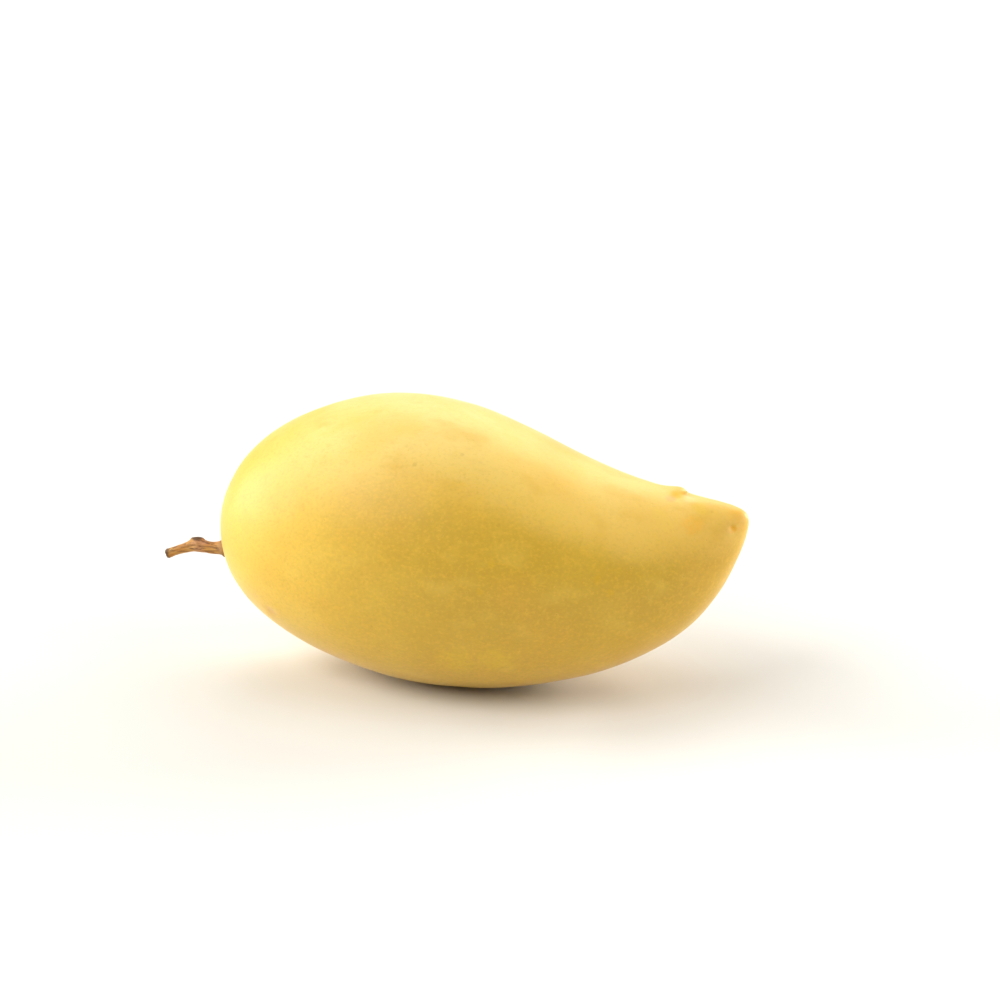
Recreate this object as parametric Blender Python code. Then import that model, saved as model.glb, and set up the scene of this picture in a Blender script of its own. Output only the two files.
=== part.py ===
"""A ripe yellow mango of the long kind, with the stub of its stalk.

Blender 4.5, metres, +Z up. The fruit lies on the edge of its back, on a small flat spot. +X runs
from the stalk to the tip, and the beak, the scar that the flower left, is on the upper edge.
"""

import math

import bmesh
import bpy
import numpy as np
from mathutils import Matrix, Vector

MM = 0.001
TURN = 2 * math.pi

# The fruit's middle plane holds the stalk, the beak and the tip. These are the control points of
# a closed cubic curve there, (x, z) in mm: from the stalk over the upper edge to the tip, and
# back along the lower edge.
OUTLINE = (
    (-78, 29),
    (-73, 57),
    (-45, 77),
    (-6, 81),
    (29, 63),
    (62, 55),
    (78, 55),
    (76, 43),
    (65, 18),
    (33, 1),
    (-10, -6),
    (-57, 6),
)
THICKNESS_SHARE = 0.85  # of the width, on every section
NARROWER_TOP = 0.05  # share by which a section is slimmer above its middle, and fuller below
LEAN = math.radians(10)  # the middle plane leans back from upright
FLAT_DEPTH = 0.8 * MM  # how much the resting side is pressed flat

FACES_PER_SIDE = 26  # of the cube that is blown up into a ball
TINY = 1e-9  # keeps a division finite at the ball's poles

# The beak: a small hooked knob on the upper edge, steep on the side of the tip.
BEAK_TURN = 0.4105  # share of the outline's turn, from the stalk
BEAK_HEIGHT = 1.3 * MM
BEAK_BACK = 4.0 * MM
BEAK_FRONT = 0.7 * MM
BEAK_HALF_WIDTH = 1.9 * MM
BEAK_HOOK = 0.45  # how far the knob bends towards the tip, as a share of its height
SWELL_HEIGHT = 0.5 * MM
SWELL_REACH = 10 * MM
SWELL_HALF_WIDTH = 5 * MM

# The shallow pit that the stalk stands in.
PIT_DEPTH = 2.0 * MM
PIT_REACH = 3.6 * MM
STALK_END = 20 * MM  # the pit is cut only this near the stalk

# The stalk: its foot goes straight into the pit, as (height over the skin, radius) in mm. The
# rest runs out past the knuckle to the cut end, as (x, y, z, radius) in the fruit's own place.
STALK_FOOT = ((-1.5, 0.9), (-0.95, 2.0), (-0.1, 2.75), (0.8, 2.6), (2.1, 1.95))
STALK_RUN = (
    (-78.6, 0.0, 29.1, 1.7),
    (-81.0, 0.0, 29.5, 1.85),
    (-82.8, 0.0, 29.8, 2.2),
    (-84.5, -0.1, 29.3, 1.65),
    (-88.0, -0.5, 28.0, 1.35),
    (-91.2, -0.9, 26.6, 1.4),
    (-91.9, -1.0, 26.3, 1.5),
)


def clear_scene():
    for obj in list(bpy.data.objects):
        bpy.data.objects.remove(obj)


def new_material(name, colour, roughness):
    material = bpy.data.materials.new(name)
    material.use_nodes = True
    shader = material.node_tree.nodes["Principled BSDF"]
    shader.inputs["Base Color"].default_value = (*colour, 1)
    shader.inputs["Roughness"].default_value = roughness
    shader.inputs["Metallic"].default_value = 0
    material.diffuse_color = (*colour, 1)
    return material


def outline(turn):
    """Points of the outline, (x, z) in metres, at these shares of its turn."""
    corners = np.array(OUTLINE) * MM
    steps = np.mod(turn, 1) * len(corners)
    first = np.floor(steps).astype(int)
    f = (steps - first)[:, None]
    weights = ((1 - f) ** 3, 3 * f**3 - 6 * f**2 + 4, -3 * f**3 + 3 * f**2 + 3 * f + 1, f**3)
    places = (corners[(first + k - 1) % len(corners)] for k in range(4))
    return sum(weight * place for weight, place in zip(weights, places)) / 6


def outline_frame(turn):
    """A point of the outline, the way along it and the way out of it, as 3-D vectors."""
    step = 1e-4
    (x, z), (x0, z0), (x1, z1) = outline(np.array([turn, turn - step, turn + step]))
    along = Vector((x1 - x0, 0, z1 - z0)).normalized()
    return Vector((x, 0, z)), along, Vector((-along.z, 0, along.x))


def ball_point(turn):
    """Where the outline's point at this share of its turn lies on the unit ball."""
    return np.array((-math.cos(TURN * turn), 0, math.sin(TURN * turn)))


def drawn_to(ball, focus, pull, reach):
    """The ball's points moved towards a focus on it, which makes the faces there smaller."""
    share = ball @ focus
    angle = np.arccos(np.clip(share, -1, 1))
    away = ball - share[:, None] * focus
    away /= np.maximum(np.linalg.norm(away, axis=1, keepdims=True), TINY)
    angle *= 1 - pull * np.exp(-((angle / reach) ** 2))
    return np.cos(angle)[:, None] * focus + np.sin(angle)[:, None] * away


def skin(ball):
    """The smooth fruit's points for these points of the unit ball."""
    turn = np.arccos(np.clip(-ball[:, 0], -1, 1)) / TURN
    upper, lower = outline(turn), outline(-turn)
    middle, arm = (upper + lower) / 2, (upper - lower) / 2
    ring = np.maximum(np.hypot(ball[:, 1], ball[:, 2]), TINY)
    up, side = ball[:, 2] / ring, ball[:, 1] / ring
    half_thickness = THICKNESS_SHARE * np.linalg.norm(arm, axis=1) * (1 - NARROWER_TOP * up)
    return np.column_stack(
        (middle[:, 0] + arm[:, 0] * up, half_thickness * side, middle[:, 1] + arm[:, 1] * up)
    )


def beak(points):
    """How far the beak and the swelling behind it move each point."""
    place, along, out = outline_frame(BEAK_TURN)
    offset = points - np.array(place)
    ahead, beside, above = offset @ np.array(along), offset[:, 1], offset @ np.array(out)
    on_edge = np.exp(-((above / SWELL_REACH) ** 2))
    slope = np.where(ahead < 0, BEAK_BACK, BEAK_FRONT)
    knob = BEAK_HEIGHT * np.exp(-((ahead / slope) ** 2) - (beside / BEAK_HALF_WIDTH) ** 2)
    swell = SWELL_HEIGHT * np.exp(-((ahead / SWELL_REACH) ** 2) - (beside / SWELL_HALF_WIDTH) ** 2)
    rise = (on_edge * (knob + swell))[:, None] * np.array(out)
    return rise + (on_edge * knob * BEAK_HOOK)[:, None] * np.array(along)


def pit(points):
    """How far the pit at the stalk moves each point."""
    place, _, out = outline_frame(0)
    offset = points - np.array(place)
    height = offset @ np.array(out)
    radius = np.linalg.norm(offset - height[:, None] * np.array(out), axis=1)
    near = np.exp(-((radius / PIT_REACH) ** 2)) * (height > -STALK_END)
    return -(PIT_DEPTH * near)[:, None] * np.array(out)


def press_flat(bm):
    """Cuts the resting side level and closes it with one flat face."""
    level = min(vert.co.z for vert in bm.verts) + FLAT_DEPTH
    cut = bmesh.ops.bisect_plane(
        bm,
        geom=bm.verts[:] + bm.edges[:] + bm.faces[:],
        plane_co=(0, 0, level),
        plane_no=(0, 0, 1),
        clear_inner=True,
    )
    rim = [item for item in cut["geom_cut"] if isinstance(item, bmesh.types.BMEdge)]
    bmesh.ops.contextual_create(bm, geom=rim)
    for edge in rim:
        edge.smooth = False


def add_object(name, data, material, collection):
    obj = bpy.data.objects.new(name, data)
    data.materials.append(material)
    collection.objects.link(obj)
    return obj


def make_fruit(collection):
    bm = bmesh.new()
    bmesh.ops.create_cube(bm, size=2)
    bmesh.ops.subdivide_edges(bm, edges=bm.edges[:], cuts=FACES_PER_SIDE - 1, use_grid_fill=True)
    ball = np.tan(np.array([vert.co[:] for vert in bm.verts]) * (math.pi / 4))
    ball /= np.linalg.norm(ball, axis=1, keepdims=True)
    ball = drawn_to(ball, ball_point(BEAK_TURN), pull=0.6, reach=0.35)
    ball = drawn_to(ball, ball_point(0), pull=0.6, reach=0.4)
    points = skin(ball)
    points += beak(points) + pit(points)
    for vert, point in zip(bm.verts, points):
        vert.co = point
    bmesh.ops.rotate(bm, verts=bm.verts, cent=(0, 0, 0), matrix=Matrix.Rotation(-LEAN, 3, "X"))
    press_flat(bm)
    bmesh.ops.recalc_face_normals(bm, faces=bm.faces)
    mesh = bpy.data.meshes.new("fruit")
    bm.to_mesh(mesh)
    bm.free()
    mesh.shade_smooth()
    return add_object("fruit", mesh, new_material("mango skin", (0.87, 0.55, 0.10), 0.45), collection)


def make_stalk(collection):
    place, _, out = outline_frame(0)
    stations = [(place + out * height * MM, radius) for height, radius in STALK_FOOT]
    stations += [(Vector((x, y, z)) * MM, radius) for x, y, z, radius in STALK_RUN]
    curve = bpy.data.curves.new("stem", "CURVE")
    curve.dimensions = "3D"
    curve.bevel_depth = MM  # the points' radii are in mm
    curve.bevel_resolution = 4
    curve.use_fill_caps = True
    curve.resolution_u = 4
    spline = curve.splines.new("BEZIER")
    spline.radius_interpolation = "CARDINAL"
    spline.bezier_points.add(len(stations) - 1)
    for point, (centre, radius) in zip(spline.bezier_points, stations):
        point.co = centre
        point.radius = radius
        point.handle_left_type = point.handle_right_type = "AUTO"
    stalk = add_object("stem", curve, new_material("stalk", (0.35, 0.15, 0.04), 0.7), collection)
    stalk.matrix_world = Matrix.Rotation(-LEAN, 4, "X")
    return stalk


def stand_at_origin(objects, collection):
    """Puts all under one empty that brings the resting spot to z = 0 and the middle above it."""
    graph = bpy.context.evaluated_depsgraph_get()
    corners = []
    for obj in objects:
        evaluated = obj.evaluated_get(graph)
        corners += [obj.matrix_world @ vert.co for vert in evaluated.to_mesh().vertices]
        evaluated.to_mesh_clear()
    low = [min(corner[axis] for corner in corners) for axis in range(3)]
    high = [max(corner[axis] for corner in corners) for axis in range(3)]
    holder = bpy.data.objects.new("mango", None)
    collection.objects.link(holder)
    holder.location = (-(low[0] + high[0]) / 2, -(low[1] + high[1]) / 2, -low[2])
    for obj in objects:
        obj.parent = holder


clear_scene()
mango = bpy.data.collections.new("mango")
bpy.context.scene.collection.children.link(mango)
pieces = [make_fruit(mango), make_stalk(mango)]
bpy.context.view_layer.update()
stand_at_origin(pieces, mango)
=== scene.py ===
"""The looks of a ripe yellow mango of the long kind, with the stub of its stalk.

Blender 4.5, metres, +Z up, +X from the stalk to the tip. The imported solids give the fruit's form
and place. The skin and the bark are modelled finely over them here.
"""

import math
import random

import bpy
from mathutils import Matrix, Vector


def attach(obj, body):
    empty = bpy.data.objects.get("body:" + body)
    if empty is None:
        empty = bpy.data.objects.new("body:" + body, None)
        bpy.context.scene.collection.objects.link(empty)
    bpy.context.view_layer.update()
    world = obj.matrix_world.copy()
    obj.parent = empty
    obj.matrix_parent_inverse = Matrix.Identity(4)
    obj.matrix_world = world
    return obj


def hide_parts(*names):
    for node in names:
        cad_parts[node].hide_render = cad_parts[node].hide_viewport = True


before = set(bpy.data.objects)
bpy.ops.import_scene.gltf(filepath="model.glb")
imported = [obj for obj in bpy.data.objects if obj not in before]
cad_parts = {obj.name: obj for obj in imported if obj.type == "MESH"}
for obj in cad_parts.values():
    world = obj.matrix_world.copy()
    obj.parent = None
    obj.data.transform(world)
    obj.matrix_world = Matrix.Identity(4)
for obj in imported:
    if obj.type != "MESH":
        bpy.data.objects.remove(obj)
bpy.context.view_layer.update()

MM = 0.001

# The camera looks a little down on the fruit, from the front and somewhat from its tip's side.
CAMERA_PLACE = Vector((202.6, -732.5, 314.3)) * MM
CAMERA_AIM = Vector((14.9, 0.2, 53.2)) * MM
LENS = 103.4  # millimetres
SENSOR = 36  # millimetres wide

# Soft lights: azimuth and elevation in degrees, and strength. Azimuth 0 is the front, 90 the
# side of the tip, and an elevation of 90 straight above.
LIGHTS = (
    (135, 12, 3.4),
    (-90, 12, 2.7),
    (90, 12, 1.15),
    (-45, 40, 1.95),
    (-90, 40, 1.05),
    (180, 40, 0.8),
    (90, 40, 0.7),
    (-135, 68, 0.6),
)
LIGHT_WIDTH = math.radians(38)  # how wide each light looks from the fruit
CEILING = 0.1  # how bright the white ceiling is, straight above
CEILING_EDGE = 0.3  # the heights, on a ball round the fruit, where the ceiling starts to shine
CEILING_FULL = 0.95  # and where it is at its brightest
FLOOR_SIZE = 60  # metres
FLOOR_DROP = 0.05 * MM  # keeps the floor just clear of the resting spot
PAPER = (0.72, 0.70, 0.65, 1)  # the floor, slightly warm

# The meshes.
LEAN = math.radians(10)  # the fruit's middle plane leans back from upright
MERGE = 1e-6  # corners closer than this are one, in metres
QUAD_BEND = math.radians(40)  # how far two triangles may bend to be joined
QUAD_SKEW = math.radians(60)  # how far the joined face may be from a rectangle
QUAD_FLOW = 1.5  # how much it follows its neighbours
FLAT_TOP = 0.05 * MM  # the resting spot's faces lie lower than this
FINER = 2  # rounds of subdivision
SKIN_WAVES = ((22, 0.5), (7, 0.12))  # unevenness: the length and height of its waves in mm
BARK_WAVES = ((2.5, 0.3), (0.8, 0.12))

# The stalk's foot in the pit, and the way that it points there.
STALK_FOOT = Vector((-65.7, -1.2, 32.1)) * MM
STALK_WAY = Vector((-0.954, 0.052, 0.295))
STALK_SIDES = 28
# The stalk from its foot to the cut end: millimetres out from the fruit, millimetres up in its
# leaning plane, radius.
STALK_RUN = (
    (-1.43, -0.45, 0.9),
    (-0.91, -0.28, 2.0),
    (-0.1, -0.03, 2.75),
    (0.76, 0.24, 2.6),
    (2.0, 0.0, 1.95),
    (4.9, -0.4, 1.7),
    (7.3, 0.0, 1.85),
    (9.1, 0.3, 2.2),
    (10.8, -0.2, 1.65),
    (14.3, -1.5, 1.35),
    (17.5, -2.9, 1.4),
    (18.2, -3.2, 1.5),
)
KNUCKLE = 9.1 * MM  # how far out the thick knuckle is
KNUCKLE_TOP = 2.5 * MM  # and how high its top
SCAR_REACH = 1.4 * MM  # the scar of a side stalk on the knuckle, to each side of its middle
SCAR_FACING = 0.72  # only faces that point up at least this much belong to it
SCAR_LOWEST = 0.6 * KNUCKLE_TOP
SCAR_RISE = 0.55 * MM
SCAR_SHRINK = (0.85, 0.8, 0.6)
SCAR_MIDDLE = (-KNUCKLE, 0, KNUCKLE_TOP + 0.5 * MM)
SCAR_RIM = 0.28 * MM
SCAR_HOLLOW = 0.45 * MM
CUT_END = 18.1 * MM  # faces farther out than this, and that face outwards, are the cut
CUT_FACING = 0.5
CUT_RIM = 0.3 * MM
CUT_HOLLOW = 0.12 * MM
PITH_RIM = 0.45 * MM
PITH_HOLLOW = 0.45 * MM
FLUTES = 7  # hollows that run along the bark
FLUTE_SEED = 3
FLUTE_STRAY = 0.25  # how far each may stray from its even place, as a share of their gap
FLUTE_DEPTH = (0.12, 0.32)  # millimetres
FLUTE_WIDTH = 0.16  # from its middle to its edge, in radians round the stalk

# Small forms of the skin: where along the core and round it (see Core.skin), which way the skin
# is pulled there in millimetres, and how far round the place it gives way.
SMALL_FORMS = (
    (0.885, 0, (0.80, 0.00, 0.50), 1.25),  # the beak's point
    (0.894, 5, (-0.35, 0.05, -0.14), 1.8),  # the notch before the point
    (0.868, 21, (0.00, 0.30, -0.30), 2.8),  # the hollow beside the beak
    (0.905, 24, (0.00, -0.10, 0.10), 3.0),  # a low swelling next to it
    (0.977, 80, (-0.22, 0.22, 0.05), 1.5),  # a dimple near the tip
    (0.960, 92, (0.00, -0.12, 0.00), 3.5),  # a low swelling below it
    (0.996, 30, (0.30, -0.05, 0.30), 5.0),  # the tip's corner
    (0.130, 133, (0.10, 0.20, 0.18), 2.6),  # a wrinkled mark low on the stalk's side
    (0.115, 140, (-0.08, -0.14, -0.12), 1.8),  # and its raised ends
    (0.145, 126, (-0.08, -0.14, -0.12), 1.8),
)
PUCKERS = 9  # shallow folds round the stalk
PUCKER_SEED = 7
PUCKER_RING = 4.3 * MM  # how far from the stalk's middle they lie
PUCKER_OUT = (0.9, 1.15)  # times that distance
PUCKER_STRAY = 0.2  # how far each may stray from its even place, as a share of their gap
PUCKER_DEPTH = (0.12, 0.3)  # millimetres
PUCKER_REACH = 2.2 * MM

# The skin's colours, from the ground up.
STALK_SIDE = (0.70, 0.465, 0.058)
MIDDLE = (0.69, 0.43, 0.050)
# The orange of the tip side is partly the skin's own tone and partly painted warm reflected light.
TIP_TONE_AND_WARM_LIGHT = (0.71, 0.385, 0.030)
# Painted shade on the flanks.
FLANK_SHADE = (0.565, 0.350, 0.033)
# Painted highlight along the upper edge.
UPPER_HIGHLIGHT = (0.82, 0.62, 0.20)
# Painted light: a warmer band below the painted highlight.
RIDGE_LIGHT = (0.74, 0.44, 0.040)
GREENER = (0.68, 0.45, 0.052)
REDDER = (0.69, 0.38, 0.04)
PALE_PATCH = (0.74, 0.50, 0.072)
DEEP_PATCH = (0.63, 0.37, 0.038)
DARK_GRAIN = (0.59, 0.37, 0.042)
PALE_GRAIN = (0.76, 0.46, 0.045)
DARK_FLECK = (0.53, 0.32, 0.036)
PALE_FLECK = (0.83, 0.51, 0.052)
PORE_HALO = (0.80, 0.53, 0.075)
PORE = (0.40, 0.22, 0.02)
ROUND_STALK = (0.52, 0.33, 0.030)
CRACK = (0.20, 0.10, 0.022)
CORK = (0.24, 0.12, 0.04)
PALE_CORK = (0.46, 0.28, 0.11)

SKIN_ROUGHNESS = 0.42
PEBBLE_DEPTH = 0.035 * MM  # of the finest relief
PORE_GAP = 2.6  # millimetres
PORE_DEPTH = 0.06 * MM
CORK_DEPTH = 0.3 * MM

# The bark's colours and relief.
BROWN_BARK = (0.46, 0.19, 0.025)
TAN_BARK = (0.55, 0.28, 0.060)
PINK_BARK = (0.56, 0.29, 0.16)
BARK_GRAIN = (0.15, 0.055, 0.010)
GRIME = (0.07, 0.028, 0.008)
DARK_SCAR = (0.055, 0.022, 0.007)
DRY_CUT = (0.075, 0.034, 0.014)
BARK_FOOT = (0.20, 0.11, 0.04)
GRIME_DEPTH = 0.12 * MM
GRAIN_DEPTH = 0.3 * MM

# The paint of the beak, and the painted shade in the hollow beside it: where, how far out in
# millimetres it starts and is full, strength and colour.
BEAK_PAINT_AND_SHADE = (
    (0.877, 12, 3.0, 0.5, 0.8, (0.88, 0.42, 0.008)),  # the flower's scar is orange
    (0.866, 26, 2.4, 0.5, 0.5, (0.60, 0.29, 0.07)),  # the hollow beside it: painted shade, browner and darker
    (0.897, 14, 3.0, 0.8, 0.35, (0.84, 0.58, 0.26)),  # and the skin at its notch pale and pinkish
)

# Marks on the skin: where (see Core.skin), size in millimetres, strength and colour.
LENTICEL = (0.40, 0.23, 0.03)
ORANGE = (0.84, 0.38, 0.010)
YELLOW = (0.78, 0.55, 0.03)
OCHRE = (0.72, 0.41, 0.012)
PINKISH = (0.62, 0.33, 0.12)
MARKS = (
    (0.43, 46, 0.9, 0.30, LENTICEL),
    (0.51, 38, 0.8, 0.28, LENTICEL),
    (0.59, 73, 0.9, 0.32, LENTICEL),
    (0.94, 40, 0.8, 0.18, LENTICEL),
    (0.26, 62, 0.7, 0.25, LENTICEL),
    (0.35, 118, 0.8, 0.30, LENTICEL),
    (0.69, 300, 0.9, 0.38, LENTICEL),
    (0.42, 262, 0.9, 0.38, LENTICEL),
    (0.76, 102, 1.5, 0.35, OCHRE),
    (0.56, 101, 1.2, 0.35, OCHRE),
    (0.58, 90, 1.4, 0.35, OCHRE),
    (0.78, 110, 1.6, 0.35, OCHRE),
    (0.61, 240, 1.6, 0.35, OCHRE),
    (0.33, 285, 1.4, 0.35, OCHRE),
    (0.977, 80, 1.7, 0.55, ORANGE),
    (0.995, 36, 5.5, 0.28, ORANGE),
    (0.91, 70, 4.0, 0.30, ORANGE),
    (0.92, 33, 3.6, 0.22, YELLOW),
    (0.50, 132, 7.0, 0.35, YELLOW),
    (0.57, 132, 7.0, 0.35, YELLOW),
    (0.13, 133, 2.6, 0.45, PINKISH),
    (0.10, 128, 1.3, 0.40, PINKISH),
)


def pick(piece):
    """Makes this piece the only one that the next operators act on."""
    bpy.ops.object.select_all(action="DESELECT")
    piece.select_set(True)
    bpy.context.view_layer.objects.active = piece


def settle(piece):
    """Moves the piece's place and turn into its mesh."""
    pick(piece)
    bpy.ops.object.transform_apply(location=True, rotation=True, scale=True)


def edit(piece):
    pick(piece)
    bpy.ops.object.mode_set(mode="EDIT")


def stop_editing():
    bpy.ops.object.mode_set(mode="OBJECT")


def select_faces(piece, wanted):
    """Selects, in edit mode, the faces that fit: wanted gets a face's centre and normal."""
    bpy.ops.mesh.select_mode(type="FACE")
    bpy.ops.mesh.select_all(action="DESELECT")
    stop_editing()
    for face in piece.data.polygons:
        face.select = wanted(face.center, face.normal)
    edit(piece)


def nudge(piece, place, move, reach):
    """Pulls the skin nearest to a place, and what lies within reach of it, by this much."""
    bpy.ops.mesh.select_mode(type="VERT")
    bpy.ops.mesh.select_all(action="DESELECT")
    stop_editing()
    nearest = min(piece.data.vertices, key=lambda vert: (vert.co - place).length_squared)
    nearest.select = True
    edit(piece)
    bpy.ops.transform.translate(
        value=move,
        use_proportional_edit=True,
        proportional_edit_falloff="SMOOTH",
        proportional_size=reach,
    )


def finer(piece):
    """Subdivides a piece smoothly."""
    pick(piece)
    step = piece.modifiers.new("finer", "SUBSURF")
    step.levels = step.render_levels = FINER
    bpy.ops.object.modifier_apply(modifier=step.name)


def uneven(piece, length, height):
    """Moves the surface gently in and out, in waves of this length and height."""
    pick(piece)
    clouds = bpy.data.textures.new("unevenness", "CLOUDS")
    clouds.noise_scale = length
    clouds.noise_depth = 1
    step = piece.modifiers.new("unevenness", "DISPLACE")
    step.texture = clouds
    step.texture_coords = "LOCAL"
    step.strength = height
    step.mid_level = 0.5
    bpy.ops.object.modifier_apply(modifier=step.name)


class Core:
    """The straight line inside the fruit from its stalk's side to its tip, to name places by."""

    def __init__(self, node):
        self.node = node
        places = [vert.co for vert in node.data.vertices]
        self.heel = min(places, key=lambda place: place.x).copy()
        self.tip = max(places, key=lambda place: place.x).copy()
        along = (self.tip - self.heel).normalized()
        self.up = (Vector((0, 0, 1)) - along * along.z).normalized()
        self.front = along.cross(self.up)

    def skin(self, share, clock):
        """The point of the skin at this share of the way to the tip. The clock angle is in
        degrees: 0 is up, 90 the front, 180 down and 270 the back."""
        angle = math.radians(clock)
        start = self.heel.lerp(self.tip, share)
        out = self.up * math.cos(angle) + self.front * math.sin(angle)
        return self.node.ray_cast(start, out)[1]


class Number:
    """A socket that carries a number. Arithmetic on it adds Math nodes."""

    def __init__(self, finish, socket):
        self.finish = finish
        self.socket = socket

    def math(self, operation, *values):
        node = self.finish.node("ShaderNodeMath", {"operation": operation}, dict(enumerate(values)))
        return Number(self.finish, node.outputs[0])

    def __add__(self, other):
        return self.math("ADD", self, other)

    def __radd__(self, other):
        return self.math("ADD", other, self)

    def __sub__(self, other):
        return self.math("SUBTRACT", self, other)

    def __rsub__(self, other):
        return self.math("SUBTRACT", other, self)

    def __mul__(self, other):
        return self.math("MULTIPLY", self, other)

    def __rmul__(self, other):
        return self.math("MULTIPLY", other, self)

    def __truediv__(self, other):
        return self.math("DIVIDE", self, other)

    def __rtruediv__(self, other):
        return self.math("DIVIDE", other, self)

    def ramp(self, low, high, start=0.0, end=1.0):
        """Goes smoothly from start to end while the number goes from low to high."""
        node = self.finish.node(
            "ShaderNodeMapRange",
            {"interpolation_type": "SMOOTHSTEP"},
            {"Value": self, "From Min": low, "From Max": high, "To Min": start, "To Max": end},
        )
        return Number(self.finish, node.outputs["Result"])


class Finish:
    """A material, and the nodes that paint it on Object coordinates."""

    def __init__(self, name, **constants):
        self.material = bpy.data.materials.new(name)
        self.material.use_nodes = True
        self.tree = self.material.node_tree
        self.shader = self.tree.nodes["Principled BSDF"]
        self.place = self.node("ShaderNodeTexCoord").outputs["Object"]
        for socket, value in constants.items():
            self.feed(self.shader.inputs[socket.replace("_", " ")], value)

    def node(self, kind, settings=(), values=()):
        """Adds a node: first its settings, then the values or links of its sockets."""
        node = self.tree.nodes.new(kind)
        for name, value in dict(settings).items():
            setattr(node, name, value)
        for socket, value in dict(values).items():
            self.feed(node.inputs[socket], value)
        return node

    def feed(self, socket, value):
        if isinstance(value, Number):
            value = value.socket
        if isinstance(value, bpy.types.NodeSocket):
            self.tree.links.new(value, socket)
        else:
            socket.default_value = value

    def number(self, node, output):
        return Number(self, node.outputs[output])

    def moved(self, shift, stretch):
        """Object coordinates, scaled on each axis and then moved."""
        values = {"Vector": self.place, "Location": shift, "Scale": stretch}
        return self.node("ShaderNodeMapping", {}, values).outputs["Vector"]

    def cloud(self, size, detail, rough=0.5, shift=(0, 0, 0), stretch=(1, 1, 1)):
        """Soft noise from 0 to 1, with patches of about this size in millimetres."""
        node = self.node(
            "ShaderNodeTexNoise",
            {},
            {
                "Vector": self.moved(shift, stretch),
                "Scale": 1 / (size * MM),
                "Detail": detail,
                "Roughness": rough,
            },
        )
        return self.number(node, "Fac")

    def away(self, place, wobble):
        """The distance from a place, in millimetres, with a wobble added to it."""
        node = self.node(
            "ShaderNodeVectorMath", {"operation": "DISTANCE"}, {0: self.place, 1: tuple(place)}
        )
        return self.number(node, "Value") / MM + wobble

    def blend(self, share, first, second):
        """One colour painted over another by a share from 0 to 1."""
        node = self.node("ShaderNodeMix", {"data_type": "RGBA"}, {0: share})
        for socket, colour in ((node.inputs[6], first), (node.inputs[7], second)):
            self.feed(socket, colour if isinstance(colour, bpy.types.NodeSocket) else (*colour, 1))
        return node.outputs[2]

    def relief(self, height, depth, under=None):
        """A bump of this depth in metres, over another one."""
        node = self.node("ShaderNodeBump", {}, {"Height": height, "Distance": depth})
        if under is not None:
            self.feed(node.inputs["Normal"], under)
        return node.outputs["Normal"]


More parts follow.
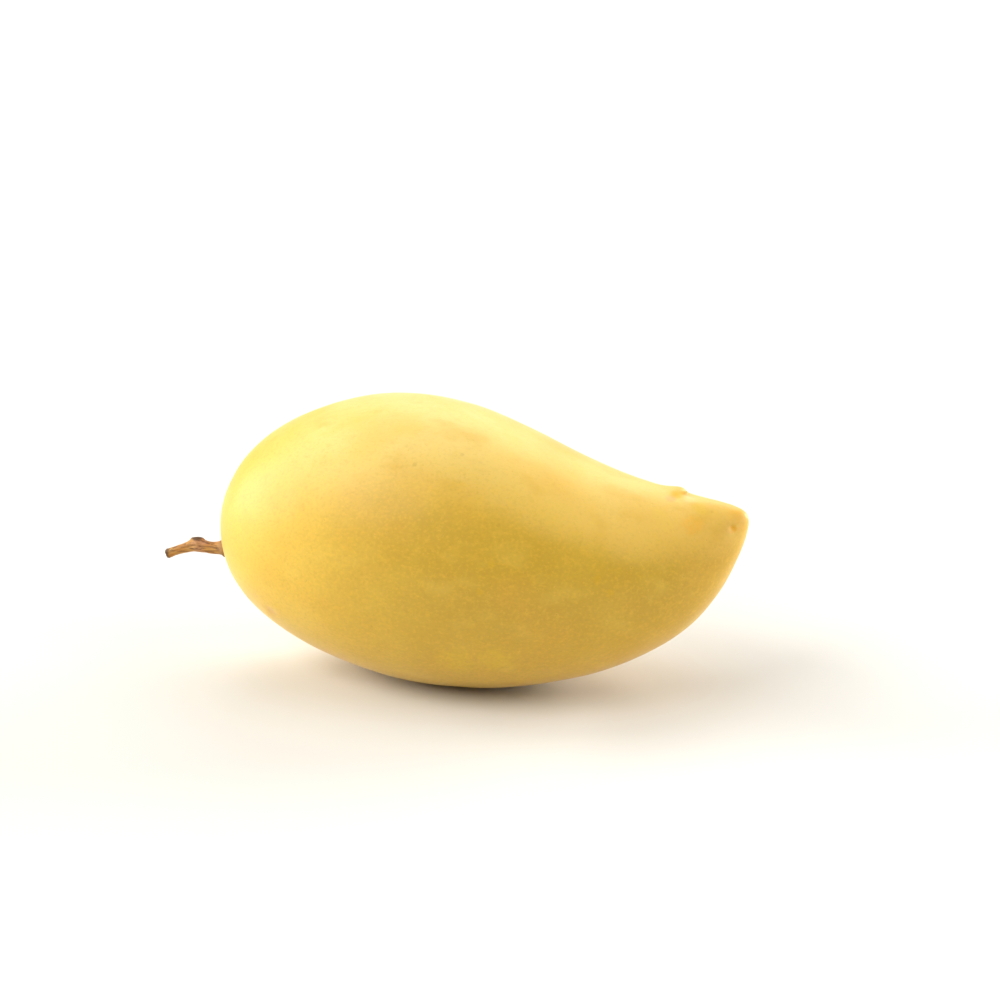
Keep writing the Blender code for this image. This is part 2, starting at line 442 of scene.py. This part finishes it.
def mango_skin(core):
    """Waxy yellow skin, paler at the stalk and more orange at the tip, partly from painted warm
    reflected light, with pores and marks, a painted highlight along the upper edge and painted
    shade on the flanks.
    """
    skin = Finish(
        "ripe mango skin",
        Roughness=SKIN_ROUGHNESS,
        Specular_IOR_Level=0.22,
        Subsurface_Weight=0.2,
        Subsurface_Scale=1.5 * MM,
        Subsurface_Radius=(1.0, 0.5, 0.15),
        Sheen_Weight=0.14,
        Sheen_Roughness=0.4,
        Coat_Weight=0.2,
        Coat_Roughness=0.35,
    )
    split = skin.node("ShaderNodeSeparateXYZ", {}, {0: skin.place})
    along = skin.number(split, "X") / MM
    height = skin.number(split, "Z") / MM
    # Yellower at the stalk and more orange at the tip, partly painted warm reflected light.
    colour = skin.blend(along.ramp(-60, 5), STALK_SIDE, MIDDLE)
    colour = skin.blend(along.ramp(20, 80), colour, TIP_TONE_AND_WARM_LIGHT)

    # Painted shade: the flanks below the lit upper edge are darkened, but less so by the stalk, at
    # the very tip and low down. How far a place lies below the fruit's upper edge is in
    # millimetres, and the edge comes down towards the tip.
    broad = skin.cloud(26, detail=1.5, shift=(0.3, 0.1, 0.2))
    below_edge = along.ramp(-5, 62, 79, 56) - height + broad * 6 - 3
    shade_band = below_edge.ramp(along.ramp(0, 60, 6, 1), along.ramp(0, 60, 23, 12))
    flank_shade = shade_band * along.ramp(-40, 5) * along.ramp(84, 70, 0.5, 1) * height.ramp(38, 12, 1, 0.4)
    colour = skin.blend(flank_shade * 0.95, colour, FLANK_SHADE)

    # A pale painted highlight lies along the upper edge, with a warmer band of painted light below
    # it on the way to the tip.
    upper_highlight = below_edge.ramp(along.ramp(-40, 50, 20, 13), 2)
    colour = skin.blend(upper_highlight * along.ramp(-50, 50, 1, 0.65), colour, UPPER_HIGHLIGHT)
    ridge_light = below_edge.ramp(12, 5) * below_edge.ramp(-6, 4) * along.ramp(0, 35)
    colour = skin.blend(ridge_light * 0.45, colour, RIDGE_LIGHT)

    # Broad patches are a little greener or redder than their neighbours, small ones a little
    # paler or deeper.
    colour = skin.blend(broad.ramp(0.5, 0.75, 0, 0.4), colour, GREENER)
    colour = skin.blend(broad.ramp(0.5, 0.25, 0, 0.4), colour, REDDER)
    patches = skin.cloud(7, detail=2.5, shift=(0.1, 0.4, 0.3), stretch=(0.6, 1, 1))
    colour = skin.blend(patches.ramp(0.5, 0.8, 0, 0.45), colour, PALE_PATCH)
    colour = skin.blend(patches.ramp(0.5, 0.2, 0, 0.45), colour, DEEP_PATCH)

    # The grain and its flecks are drawn out a little along the fruit. The painted highlight veils
    # them.
    highlight_veil = 1 - upper_highlight * 0.6
    grain = skin.cloud(1.7, detail=3, rough=0.6, shift=(0.7, 0.2, 0.1), stretch=(0.7, 1, 1))
    colour = skin.blend(grain.ramp(0.5, 0.75, 0, 0.4) * highlight_veil, colour, DARK_GRAIN)
    colour = skin.blend(grain.ramp(0.5, 0.25, 0, 0.4) * highlight_veil, colour, PALE_GRAIN)
    flecks = skin.cloud(0.75, detail=2, rough=0.55, shift=(0.4, 0.8, 0.6), stretch=(0.8, 1, 1))
    colour = skin.blend(flecks.ramp(0.5, 0.72, 0, 0.34) * highlight_veil, colour, DARK_FLECK)
    colour = skin.blend(flecks.ramp(0.5, 0.28, 0, 0.28) * highlight_veil, colour, PALE_FLECK)

    # Pores: a pale halo round a tiny dark centre. The lot of a cell says how strong its pore is.
    cells = skin.node(
        "ShaderNodeTexVoronoi", {}, {"Vector": skin.place, "Scale": 1 / (PORE_GAP * MM)}
    )
    from_pore = skin.number(cells, "Distance")
    lot = skin.number(skin.node("ShaderNodeSeparateColor", {}, {0: cells.outputs["Color"]}), "Red")
    halo = from_pore.ramp(0.26, 0.08) * lot.ramp(0.35, 0.9)
    speck = from_pore.ramp(0.10, 0.04) * lot.ramp(0.5, 0.95)
    colour = skin.blend(halo * 0.20, colour, PORE_HALO)
    colour = skin.blend(speck * highlight_veil * 0.45, colour, PORE)

    # Marks, the beak's paint and the painted shade beside it have wobbling edges.
    wobble = skin.cloud(2.2, detail=2, shift=(0.5, 0.5, 0.1)) * 2 - 1
    ragged = skin.cloud(0.9, detail=2, shift=(0.1, 0.3, 0.8))
    for share, clock, size, strength, paint in MARKS:
        spot = skin.away(core.skin(share, clock), wobble * size * 0.5).ramp(size, size * 0.35)
        colour = skin.blend(spot * ragged.ramp(0.25, 0.55) * strength, colour, paint)
    for share, clock, start, full, strength, paint in BEAK_PAINT_AND_SHADE:
        spot = skin.away(core.skin(share, clock), wobble * 0.8).ramp(start, full)
        colour = skin.blend(spot * strength, colour, paint)

    # The skin round the stalk is darker, with a cracked corky ring at its foot.
    from_stalk = skin.away(STALK_FOOT, wobble * 0.8)
    cork = (from_stalk + ragged * 2.4).ramp(5.5, 4.7)
    cracks = ragged.ramp(0.5, 0.6) * from_stalk.ramp(8.5, 4)
    colour = skin.blend(from_stalk.ramp(12, 3) * 0.6, colour, ROUND_STALK)
    colour = skin.blend(cracks * 0.75, colour, CRACK)
    colour = skin.blend(cork * 0.9, colour, CORK)
    colour = skin.blend(cork * grain.ramp(0.5, 0.62) * 0.8, colour, PALE_CORK)
    skin.feed(skin.shader.inputs["Base Color"], colour)

    roughness = SKIN_ROUGHNESS + patches * 0.06 + grain * 0.06 + cork * 0.25
    skin.feed(skin.shader.inputs["Roughness"], roughness)

    pebbles = skin.cloud(1.0, detail=2.5, rough=0.55, shift=(0.2, 0.9, 0.6))
    fine = skin.relief(pebbles, PEBBLE_DEPTH)
    pits = skin.relief(1 - from_pore.ramp(0.12, 0.03) * lot, PORE_DEPTH, fine)
    corky = skin.relief(ragged * cork, CORK_DEPTH, pits)
    skin.feed(skin.shader.inputs["Normal"], corky)
    return skin.material


def stalk_bark():
    """Dry orange-brown bark, grained lengthwise, with a pinkish knuckle and a dark scar and cut."""
    bark = Finish("dry mango stalk", Roughness=0.68)
    split = bark.node("ShaderNodeSeparateXYZ", {}, {0: bark.place})
    out = STALK_FOOT.x / MM - bark.number(split, "X") / MM
    grain = bark.cloud(0.8, detail=4, rough=0.65, stretch=(0.16, 1, 1))
    blotch = bark.cloud(2.4, detail=3, rough=0.6, shift=(0.2, 0.3, 0.9), stretch=(0.6, 1, 1))
    colour = bark.blend(blotch.ramp(0.35, 0.65), BROWN_BARK, TAN_BARK)

    # The knuckle is pinkish. Dark grain and grime lie over all of the bark.
    knuckle = bark.away(on_stalk(8.2, 0.2), blotch * 2 - 1).ramp(3.2, 1.2)
    colour = bark.blend(knuckle * 0.85, colour, PINK_BARK)
    colour = bark.blend(grain.ramp(0.55, 0.32, 0, 0.85), colour, BARK_GRAIN)
    grime = bark.cloud(1.3, detail=3, rough=0.7, shift=(0.6, 0.1, 0.4), stretch=(0.35, 1, 1))
    colour = bark.blend(grime.ramp(0.58, 0.68) * 0.75, colour, GRIME)

    # The scar on the knuckle and the cut are nearly black, and the foot is brown.
    scar = bark.away(on_stalk(KNUCKLE / MM, 2.6), grain - 0.5).ramp(2.0, 1.2)
    colour = bark.blend(scar * 0.85, colour, DARK_SCAR)
    cut = (out + grain * 0.8).ramp(17.2, 18.2)
    colour = bark.blend(cut * 0.85, colour, DRY_CUT)
    foot = (out + grain).ramp(3.4, 1.6)
    colour = bark.blend(foot * 0.5, colour, BARK_FOOT)

    bark.feed(bark.shader.inputs["Base Color"], colour)
    bark.feed(bark.shader.inputs["Roughness"], 0.55 + grain * 0.25)
    rough = bark.relief(grime, GRIME_DEPTH)
    bark.feed(bark.shader.inputs["Normal"], bark.relief(grain, GRAIN_DEPTH, rough))
    return bark.material


def pucker(fruit):
    """Presses shallow folds of different depths into the skin round the stalk."""
    depths = random.Random(PUCKER_SEED)
    start = STALK_WAY.orthogonal().normalized()
    for fold in range(PUCKERS):
        angle = 2 * math.pi * (fold + depths.uniform(-PUCKER_STRAY, PUCKER_STRAY)) / PUCKERS
        side = Matrix.Rotation(angle, 3, STALK_WAY) @ start
        place = STALK_FOOT + side * PUCKER_RING * depths.uniform(*PUCKER_OUT)
        inward = STALK_WAY * (-MM * depths.uniform(*PUCKER_DEPTH))
        nudge(fruit, place, inward, PUCKER_REACH)


def on_resting_spot(centre, normal):
    return centre.z < FLAT_TOP


def make_fruit(core):
    """The fruit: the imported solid's form, with a finer and slightly uneven skin."""
    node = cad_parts["fruit"]
    fruit = bpy.data.objects.new("ripe_fruit", node.data.copy())
    bpy.context.scene.collection.objects.link(fruit)
    edit(fruit)
    bpy.ops.mesh.customdata_custom_splitnormals_clear()
    bpy.ops.mesh.select_all(action="SELECT")
    bpy.ops.mesh.remove_doubles(threshold=MERGE)
    bpy.ops.mesh.mark_sharp(clear=True)
    bpy.ops.mesh.tris_convert_to_quads(
        face_threshold=QUAD_BEND, shape_threshold=QUAD_SKEW, topology_influence=QUAD_FLOW
    )
    select_faces(fruit, on_resting_spot)
    bpy.ops.mesh.dissolve_faces()
    stop_editing()
    finer(fruit)
    for length, height in SKIN_WAVES:
        uneven(fruit, length * MM, height * MM)
    edit(fruit)
    for share, clock, pull, reach in SMALL_FORMS:
        nudge(fruit, core.skin(share, clock), Vector(pull) * MM, reach * MM)
    pucker(fruit)
    select_faces(fruit, on_resting_spot)
    bpy.ops.transform.resize(value=(1, 1, 0), center_override=(0, 0, 0))
    stop_editing()
    fruit.data.shade_smooth()
    fruit.data.materials.clear()
    fruit.data.materials.append(mango_skin(core))
    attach(fruit, "root")
    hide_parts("fruit")


def on_stalk(out, up):
    """The place this many millimetres out from the stalk's foot and up in its leaning plane."""
    return STALK_FOOT + Matrix.Rotation(-LEAN, 3, "X") @ Vector((-out, 0, up)) * MM


def flute(stalk, centres):
    """Presses hollows of different depths into the bark, from the foot to the cut end."""
    depths = random.Random(FLUTE_SEED)
    for line in range(FLUTES):
        angle = 2 * math.pi * (line + depths.uniform(-FLUTE_STRAY, FLUTE_STRAY)) / FLUTES
        depth = depths.uniform(*FLUTE_DEPTH) * MM
        bpy.ops.mesh.select_mode(type="VERT")
        bpy.ops.mesh.select_all(action="DESELECT")
        stop_editing()
        for vert in stalk.data.vertices:
            centre = min(centres, key=lambda place: (place - vert.co).length_squared)
            offset = vert.co - centre
            gap = math.remainder(math.atan2(offset.y, offset.z) - angle, 2 * math.pi)
            vert.select = abs(gap) < FLUTE_WIDTH and vert.co.x < -MM
        edit(stalk)
        bpy.ops.transform.shrink_fatten(value=-depth)


def scar_and_cut(stalk):
    """The scar of a side stalk on the knuckle, and the hollow cut end."""
    select_faces(
        stalk,
        lambda centre, normal: abs(centre.x + KNUCKLE) < SCAR_REACH
        and normal.z > SCAR_FACING
        and centre.z > SCAR_LOWEST,
    )
    bpy.ops.mesh.extrude_region_move(TRANSFORM_OT_translate={"value": (0, 0, SCAR_RISE)})
    bpy.ops.transform.resize(value=SCAR_SHRINK, center_override=SCAR_MIDDLE)
    bpy.ops.mesh.inset(thickness=SCAR_RIM)
    bpy.ops.transform.translate(value=(0, 0, -SCAR_HOLLOW))
    select_faces(stalk, lambda centre, normal: centre.x < -CUT_END and normal.x < -CUT_FACING)
    bpy.ops.mesh.inset(thickness=CUT_RIM)
    bpy.ops.transform.translate(value=(CUT_HOLLOW, 0, 0))
    bpy.ops.mesh.inset(thickness=PITH_RIM)
    bpy.ops.transform.translate(value=(PITH_HOLLOW, 0, 0))


def make_stalk():
    """The stalk: a ring grown along its run, section by section, from the foot to the cut end."""
    centres = [Vector((-out, 0, up)) * MM for out, up, radius in STALK_RUN]
    radii = [radius * MM for out, up, radius in STALK_RUN]
    ways = []
    for index in range(len(centres)):
        before = centres[max(index - 1, 0)]
        after = centres[min(index + 1, len(centres) - 1)]
        way = after - before
        ways.append(math.atan2(way.z, -way.x))
    bpy.ops.object.select_all(action="DESELECT")
    bpy.ops.mesh.primitive_circle_add(
        vertices=STALK_SIDES,
        radius=radii[0],
        fill_type="NGON",
        location=centres[0],
        rotation=(0, ways[0] - math.pi / 2, 0),
    )
    stalk = bpy.context.object
    stalk.name = stalk.data.name = "stalk"
    settle(stalk)
    edit(stalk)
    bpy.ops.mesh.select_all(action="SELECT")
    for index in range(1, len(centres)):
        step = centres[index] - centres[index - 1]
        bpy.ops.mesh.extrude_region_move(TRANSFORM_OT_translate={"value": step})
        share = radii[index] / radii[index - 1]
        bpy.ops.transform.resize(value=(share, share, share), center_override=centres[index])
        bpy.ops.transform.rotate(
            value=ways[index - 1] - ways[index],
            orient_axis="Y",
            center_override=centres[index],
        )
    bpy.ops.mesh.select_all(action="SELECT")
    bpy.ops.mesh.normals_make_consistent(inside=False)
    flute(stalk, centres)
    scar_and_cut(stalk)
    stop_editing()
    finer(stalk)
    for length, height in BARK_WAVES:
        uneven(stalk, length * MM, height * MM)
    stalk.matrix_world = Matrix.Translation(STALK_FOOT) @ Matrix.Rotation(-LEAN, 4, "X")
    settle(stalk)
    stalk.data.shade_smooth()
    stalk.data.materials.append(stalk_bark())
    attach(stalk, "root")
    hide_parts("stem")


def make_floor():
    bpy.ops.object.select_all(action="DESELECT")
    bpy.ops.mesh.primitive_plane_add(size=FLOOR_SIZE, location=(0, 0, -FLOOR_DROP))
    floor = bpy.context.object
    floor.name = "floor"
    paper = Finish("white paper", Roughness=0.7, Base_Color=PAPER)
    floor.data.materials.append(paper.material)


def from_target(azimuth, elevation):
    """The way from the fruit to a light at this azimuth and elevation in degrees."""
    around, above = math.radians(azimuth), math.radians(elevation)
    level = math.cos(above)
    return Vector((math.sin(around) * level, -math.cos(around) * level, math.sin(above)))


def make_lights():
    for azimuth, elevation, strength in LIGHTS:
        way = from_target(azimuth, elevation)
        bpy.ops.object.light_add(type="SUN", rotation=way.to_track_quat("Z", "Y").to_euler())
        light = bpy.context.object
        light.name = f"soft_light_{azimuth}_{elevation}"
        light.data.energy = strength
        light.data.angle = LIGHT_WIDTH
    world = bpy.data.worlds.new("white room")
    world.use_nodes = True
    bpy.context.scene.world = world
    nodes, links = world.node_tree.nodes, world.node_tree.links
    way = nodes.new("ShaderNodeTexCoord")
    split = nodes.new("ShaderNodeSeparateXYZ")
    ceiling = nodes.new("ShaderNodeMapRange")
    ceiling.interpolation_type = "SMOOTHSTEP"
    ceiling.inputs["From Min"].default_value = CEILING_EDGE
    ceiling.inputs["From Max"].default_value = CEILING_FULL
    ceiling.inputs["To Max"].default_value = CEILING
    seen = nodes.new("ShaderNodeLightPath")
    brightness = nodes.new("ShaderNodeMath")
    brightness.operation = "MAXIMUM"
    links.new(way.outputs["Generated"], split.inputs[0])
    links.new(split.outputs["Z"], ceiling.inputs["Value"])
    links.new(ceiling.outputs["Result"], brightness.inputs[0])
    links.new(seen.outputs["Is Camera Ray"], brightness.inputs[1])
    links.new(brightness.outputs["Value"], nodes["Background"].inputs["Strength"])
    nodes["Background"].inputs["Color"].default_value = (1, 1, 1, 1)


def make_camera():
    way = CAMERA_PLACE - CAMERA_AIM
    bpy.ops.object.camera_add(
        location=CAMERA_PLACE, rotation=way.to_track_quat("Z", "Y").to_euler()
    )
    camera = bpy.context.object
    camera.data.lens = LENS
    camera.data.sensor_width = SENSOR
    bpy.context.scene.camera = camera
    bpy.context.scene.view_settings.view_transform = "Standard"


make_camera()
make_lights()
make_floor()
core = Core(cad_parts["fruit"])
make_fruit(core)
make_stalk()
